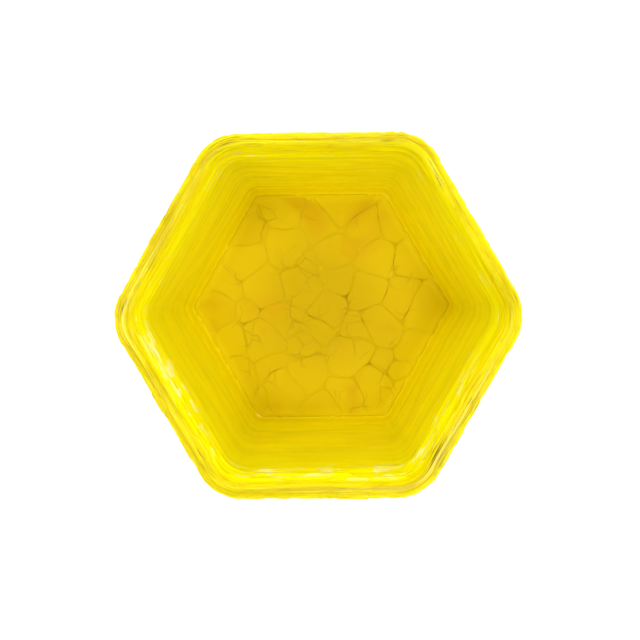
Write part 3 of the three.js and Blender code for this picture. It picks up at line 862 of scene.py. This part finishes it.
def floor_chip(node, index):
    """A chip with a rounded upper edge and a faintly uneven top, on the outline of its CAD node."""
    low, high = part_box(node)
    outline = rounded(outline_of(node), 2)
    middle = outline.mean(0)
    outward = outline - middle
    outward /= np.linalg.norm(outward, axis=1)[:, None]
    outline = outline + outward * CHIP_SPREAD
    rings = [outline]
    heights = [low.z]
    for angle in np.radians([0, 30, 60, 90]):
        rings.append(outline - outward * CHIP_EDGE * (1 - math.cos(angle)))
        heights.append(high.z - CHIP_EDGE * (1 - math.sin(angle)))
    crown = rings[-1]
    for share in (0.1, 0.25, 0.4, 0.55, 0.7, 0.85):
        rings.append(crown * (1 - share) + middle * share)
        heights.append(high.z)
    around = len(outline)
    points = [np.column_stack([r, np.full(around, z)]) for r, z in zip(rings, heights)]
    points = np.concatenate([*points, [[*middle, low.z], [*middle, high.z]]])
    faces, column, following = ring_faces(len(rings), around)
    last = (len(rings) - 1) * around
    faces += [(len(points) - 2, int(b), int(a)) for a, b in zip(column, following)]
    faces += [(len(points) - 1, int(last + a), int(last + b)) for a, b in zip(column, following)]
    top = points[:, 2] > high.z - 0.01 * MM
    wave = layered_noise(points / (9 * MM), seed=50, octaves=2)
    points[:, 2] += np.where(top, 0.04 * MM * (wave - 1), 0)
    piece = new_mesh(f"paving_{node[-2:]}", points, faces)
    tint = lattice(np.array([index]), 5, 9, TINT_SEED)
    keep_value(piece, "tint", np.full(len(points), tint**1.6))
    keep_value(piece, "middle", near_middle(points))
    keep_value(piece, "margin", near_margin(points))
    finish(piece, "liner", CHIPS, "yellow_chips", node)


def joint_bed():
    """The resin that the chips are set in, filled between them to just under their tops."""
    bottom = BED_LOW.z
    top = CHIP_HIGH.z - 0.12 * MM
    profile = [
        *line((0.5 * MM, bottom), (BED_APOTHEM, bottom), 6 * MM),
        *line((BED_APOTHEM, top), (0.6 * MM, top), 0.9 * MM),
    ]
    piece, row_of, _ = sweep("joint_bed", profile, hexagon, closed=False)
    co = coordinates(piece)
    level = layered_noise(co / (6 * MM), seed=61)
    co[:, 2] += np.where(co[:, 2] > top - 0.01 * MM, level * 0.04 * MM, 0)
    set_coordinates(piece, co)
    distance = np.array([distance for distance, _ in profile])[row_of]
    keep_value(piece, "middle", near_middle(co))
    keep_value(piece, "margin", near_margin(co))
    keep_value(piece, "under_chips", distance < BED_APOTHEM - BED_LIP - 1.5 * MM)
    finish(piece, "liner", JOINTS, "bed_resin", "floor_bed")


# ---------------------------------------------------------------- drive and clamp hardware
THREAD_PITCH = 1.25 * MM  # M8
THREAD_RADIUS = 4 * MM


def thread(co):
    """0 at the crest and 1 at the root of a right-hand thread about the axis."""
    turn = azimuth(co) / (2 * math.pi)
    return np.abs((co[:, 2] / THREAD_PITCH - turn) % 1 - 0.5) * 2


FLAT_ANGLE, SHARP_ANGLE, BEVEL_ANGLE = np.radians([1, 24, 28])


def edged(node, name, body, material, slot, width):
    """A copy of a CAD node's mesh with its edges broken by a small rounding."""
    mesh = bmesh.new()
    mesh.from_mesh(NODES[node].data)
    bmesh.ops.remove_doubles(mesh, verts=mesh.verts, dist=0.001 * MM)
    bmesh.ops.dissolve_limit(
        mesh, angle_limit=FLAT_ANGLE, verts=mesh.verts, edges=mesh.edges, use_dissolve_boundaries=False
    )
    sharp = [e for e in mesh.edges if len(e.link_faces) == 2 and e.calc_face_angle() > BEVEL_ANGLE]
    bmesh.ops.bevel(
        mesh, geom=sharp, offset=width, segments=3, profile=0.5, affect="EDGES", clamp_overlap=True
    )
    data = bpy.data.meshes.new(name)
    mesh.to_mesh(data)
    mesh.free()
    data.polygons.foreach_set("use_smooth", [True] * len(data.polygons))
    data.set_sharp_from_angle(angle=SHARP_ANGLE)
    piece = bpy.data.objects.new(name, data)
    bpy.context.scene.collection.objects.link(piece)
    finish(piece, body, material, slot, node)


TYRE_SIPES = 72  # short cuts round each shoulder of the tread


def tyre():
    """A crowned rubber tyre with ribs round it and short sipes across its shoulders."""
    low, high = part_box("drive_tyre")
    inner = 68.3 * MM
    shoulder = 2.5 * MM
    crown = 0.8 * MM
    half = (high.z - low.z) / 2 - shoulder
    middle = (high.z + low.z) / 2
    heights = np.arange(-half, half + 0.01 * MM, 0.25 * MM)
    tread = [(high.x - crown * (z / half) ** 2, middle + z) for z in heights]
    side = high.x - shoulder
    profile = [
        *line((inner, low.z), (side, low.z), MM),
        *bow((side, low.z), tread[0], (tread[0][0], low.z), 8)[1:],
        *tread[1:],
        *bow(tread[-1], (side, high.z), (tread[-1][0], high.z), 8)[1:],
        *line((side, high.z), (inner, high.z), MM)[1:],
    ]
    piece, _, _ = sweep("tyre_tread", profile, circles(480))
    co = coordinates(piece)
    from_middle = np.abs(co[:, 2] - middle)
    radius = from_axis(co)
    groove = np.zeros(len(co))
    for place in (0, 2.7 * MM):
        groove = np.maximum(groove, 1 - smoothstep(0.3 * MM, 0.6 * MM, np.abs(from_middle - place)))
    turn = azimuth(co) / (2 * math.pi)
    wave = np.abs((turn * TYRE_SIPES + 0.5 * (co[:, 2] > middle)) % 1 - 0.5)
    sipe = (1 - smoothstep(0.06, 0.12, wave)) * smoothstep(3.6 * MM, 4 * MM, from_middle)
    sunk = np.maximum(groove, sipe) * smoothstep(high.x - 2.6 * MM, high.x - 1.6 * MM, radius)
    co[:, :2] *= (1 - 0.7 * MM * sunk / radius)[:, None]
    set_coordinates(piece, co)
    finish(piece, "casing", RUBBER, "tyre_rubber", "drive_tyre")


def stud():
    """The threaded stud, with the flat round head that lies under the liner."""
    low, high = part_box("clamp_stud")
    radius, head = THREAD_RADIUS, high.x
    head_low = high.z - 1.5 * MM
    thread_depth = 0.54 * MM
    thread_top = head_low - 6 * MM
    profile = [
        (0.4 * MM, low.z),
        (radius - 1 * MM, low.z),
        *line((radius - 0.8 * MM, low.z + 0.2 * MM), (radius, low.z + MM), 0.2 * MM),
        *line((radius, low.z + MM), (radius, thread_top), 0.14 * MM)[1:],
        (radius, head_low - 0.3 * MM),
        (radius + 0.3 * MM, head_low),
        *line((radius + 0.5 * MM, head_low), (head - 0.3 * MM, head_low), MM),
        *bow((head - 0.3 * MM, head_low), (head, head_low + 0.3 * MM), (head, head_low), 3)[1:],
        *bow((head, high.z - 0.5 * MM), (head - 0.5 * MM, high.z), (head, high.z), 4),
        *line((head - 0.5 * MM, high.z), (0.4 * MM, high.z), MM)[1:],
    ]
    piece, _, _ = sweep("stud_threaded", profile, circles(64), closed=False)
    co = coordinates(piece)
    distance = from_axis(co)
    starts = smoothstep(low.z, low.z + 0.3 * MM, co[:, 2])
    runs_out = 1 - smoothstep(thread_top - MM, thread_top, co[:, 2])
    on_thread = distance > radius - 1.1 * MM
    sunk = thread_depth * thread(co) * starts * runs_out * on_thread
    co[:, :2] *= (1 - sunk / np.maximum(distance, 0.1 * MM))[:, None]
    set_coordinates(piece, co)
    finish(piece, "casing", STEEL, "zinc_steel", "clamp_stud")


def knob():
    """The lobed grip, dished underneath, round the hexagonal hole that holds its insert."""
    low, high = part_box("clamp_knob")
    count, lobes, flute = 288, 6, 3.4 * MM
    grip = high.x
    hole = 7.3 * MM

    def lobed(angles):
        return grip - flute * (1 - np.sqrt((1 + np.cos(lobes * angles)) / 2 + 0.02))

    inner = by_angle(lambda angles: hexagon_radius(hole, angles), count)
    outer = by_angle(lobed, count)
    edge = 2.2 * MM
    dish, dish_edge, dish_bend, dish_end = 0.9 * MM, 11 * MM, 11.6 * MM, 12.4 * MM
    profile = [
        *line((hole, low.z + dish), (dish_edge, low.z + dish), MM),
        *bow((dish_edge, low.z + dish), (dish_end, low.z), (dish_bend, low.z), 5)[1:],
        *line((dish_end, low.z), (grip - edge, low.z), 0.8 * MM)[1:],
        *bow((grip - edge, low.z), (grip, low.z + edge), (grip, low.z), 8)[1:],
        *line((grip, low.z + edge), (grip, high.z - edge), 0.8 * MM)[1:],
        *bow((grip, high.z - edge), (grip - edge, high.z), (grip, high.z), 8)[1:],
        *line((grip - edge, high.z), (hole, high.z), MM)[1:],
    ]
    piece, _, _ = sweep("knob_grip", profile, blended(inner, outer, hole, grip))
    finish(piece, "knob", PLASTIC, "black_plastic", "clamp_knob")


def insert():
    """The brass hexagon moulded into the knob, with a countersunk bore."""
    low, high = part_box("knob_insert")
    count, bore, flat = 192, BORE_RADIUS, high.y
    chamfer = 0.5 * MM
    inner = circles(count)(bore)

    def eased(angles):
        return hexagon_radius(flat, angles) - 0.3 * MM * np.cos(3 * angles) ** 8

    outer = by_angle(eased, count)
    profile = [
        *line((bore + chamfer, low.z), (flat - chamfer, low.z), 0.5 * MM),
        *bow((flat - chamfer, low.z), (flat, low.z + chamfer), (flat, low.z), 3)[1:],
        *line((flat, low.z + chamfer), (flat, high.z - chamfer), MM)[1:],
        *bow((flat, high.z - chamfer), (flat - chamfer, high.z), (flat, high.z), 3)[1:],
        *line((flat - chamfer, high.z), (bore + chamfer, high.z), 0.5 * MM)[1:],
        *line((bore, high.z - chamfer), (bore, low.z + chamfer), 0.16 * MM),
    ]
    piece, _, _ = sweep("insert_threaded", profile, blended(inner, outer, bore, flat))
    co = coordinates(piece)
    distance = from_axis(co)
    in_bore = distance < bore + 0.02 * MM
    co[:, :2] *= (1 + 0.3 * MM * thread(co) * in_bore / distance)[:, None]
    set_coordinates(piece, co)
    finish(piece, "knob", BRASS, "brass", "knob_insert")


def washer():
    """A thick flat ring with all four edges rounded."""
    low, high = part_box("thrust_washer")
    bore, outer, edge = BORE_RADIUS, high.x, 0.35 * MM
    profile = [
        *line((bore + edge, low.z), (outer - edge, low.z), MM),
        *bow((outer - edge, low.z), (outer, low.z + edge), (outer, low.z), 4)[1:],
        *bow((outer, high.z - edge), (outer - edge, high.z), (outer, high.z), 4),
        *line((outer - edge, high.z), (bore + edge, high.z), MM)[1:],
        *bow((bore + edge, high.z), (bore, high.z - edge), (bore, high.z), 4)[1:],
        *bow((bore, low.z + edge), (bore + edge, low.z), (bore, low.z), 4)[:-1],
    ]
    piece, _, _ = sweep("washer_ring", profile, circles(96))
    finish(piece, "washers", STEEL, "zinc_steel", "thrust_washer")


casing_skin()
liner_skin()
joint_bed()
for number, name in enumerate(sorted(n for n in NODES if n.startswith("floor_chip_"))):
    floor_chip(name, number)

tyre()
stud()
knob()
insert()
washer()
edged("drive_disc", "disc_casting", "casing", ALLOY, "cast_alloy", 0.5 * MM)
edged("backing_plate", "plate_sheet", "casing", STEEL, "zinc_steel", 0.25 * MM)
edged("lock_washer", "lock_washer_ring", "washers", STEEL, "zinc_steel", 0.2 * MM)
for index in range(1, 7):
    edged(f"plate_rivet_{index}", f"rivet_{index}", "casing", STEEL, "zinc_steel", 0.15 * MM)


# ---------------------------------------------------------------- floor, light and film
def stage():
    half = 3  # metres from the axis to the floor's edge
    corners = [(-half, -half, 0), (half, -half, 0), (half, half, 0), (-half, half, 0)]
    floor = new_mesh("studio_floor", np.array(corners), [(0, 1, 2, 3)], smooth=False)
    s = Surface("studio_floor", Roughness=0.9)
    s.set("Base Color", (0.95, 0.95, 0.95, 1))
    floor.data.materials.append(s.material)


LIGHT_TARGET = (0, 0, 0.1)


def softbox(name, turn, reach, height, size, power):
    """An area light at an angle round the object, reach away from the axis, facing its middle."""
    angle = math.radians(turn)
    place = (reach * math.cos(angle), reach * math.sin(angle), height)
    data = bpy.data.lights.new(name, "AREA")
    data.shape = "RECTANGLE"
    data.size, data.size_y = size
    data.energy = power
    light = bpy.data.objects.new(name, data)
    bpy.context.scene.collection.objects.link(light)
    light.location = place
    light.rotation_euler = (Vector(LIGHT_TARGET) - Vector(place)).to_track_quat("-Z", "Y").to_euler()


def sky(brightness, dim, dim_angle, fade_angle):
    """A white tent, dimmer round the hole that it has straight above the object."""
    world = bpy.data.worlds.new("studio")
    world.use_nodes = True
    tree = world.node_tree
    upward = tree.nodes.new("ShaderNodeSeparateXYZ")
    tree.links.new(tree.nodes.new("ShaderNodeTexCoord").outputs["Generated"], upward.inputs[0])
    fade = tree.nodes.new("ShaderNodeMapRange")
    tree.links.new(upward.outputs["Z"], fade.inputs["Value"])
    fade.inputs["From Min"].default_value = math.cos(math.radians(fade_angle))
    fade.inputs["From Max"].default_value = math.cos(math.radians(dim_angle))
    fade.inputs["To Min"].default_value = brightness
    fade.inputs["To Max"].default_value = dim
    background = tree.nodes["Background"]
    background.inputs["Color"].default_value = (1, 1, 1, 1)
    tree.links.new(fade.outputs["Result"], background.inputs["Strength"])
    bpy.context.scene.world = world


OVERHEAD_LIGHTS = ((70, 6.6), (190, 5), (310, 6.6))  # degrees round the axis, watts
LOW_LIGHTS = ((32, 4), (90, 2.6), (148, 3.4), (330, 2.8))

stage()
sky(brightness=0.79, dim=0.2, dim_angle=8, fade_angle=12)
for turn, power in OVERHEAD_LIGHTS:
    softbox(f"overhead_{turn}", turn, reach=0.37, height=1.5, size=(0.25, 0.25), power=power)
for turn, power in LOW_LIGHTS:
    softbox(f"low_{turn}", turn, reach=1.2, height=0.42, size=(0.7, 0.25), power=power)
bpy.context.scene.view_settings.view_transform = "Standard"
bpy.context.scene.cycles.max_bounces = 24
bpy.context.scene.cycles.diffuse_bounces = 16  # light goes round many times inside a glowing cup
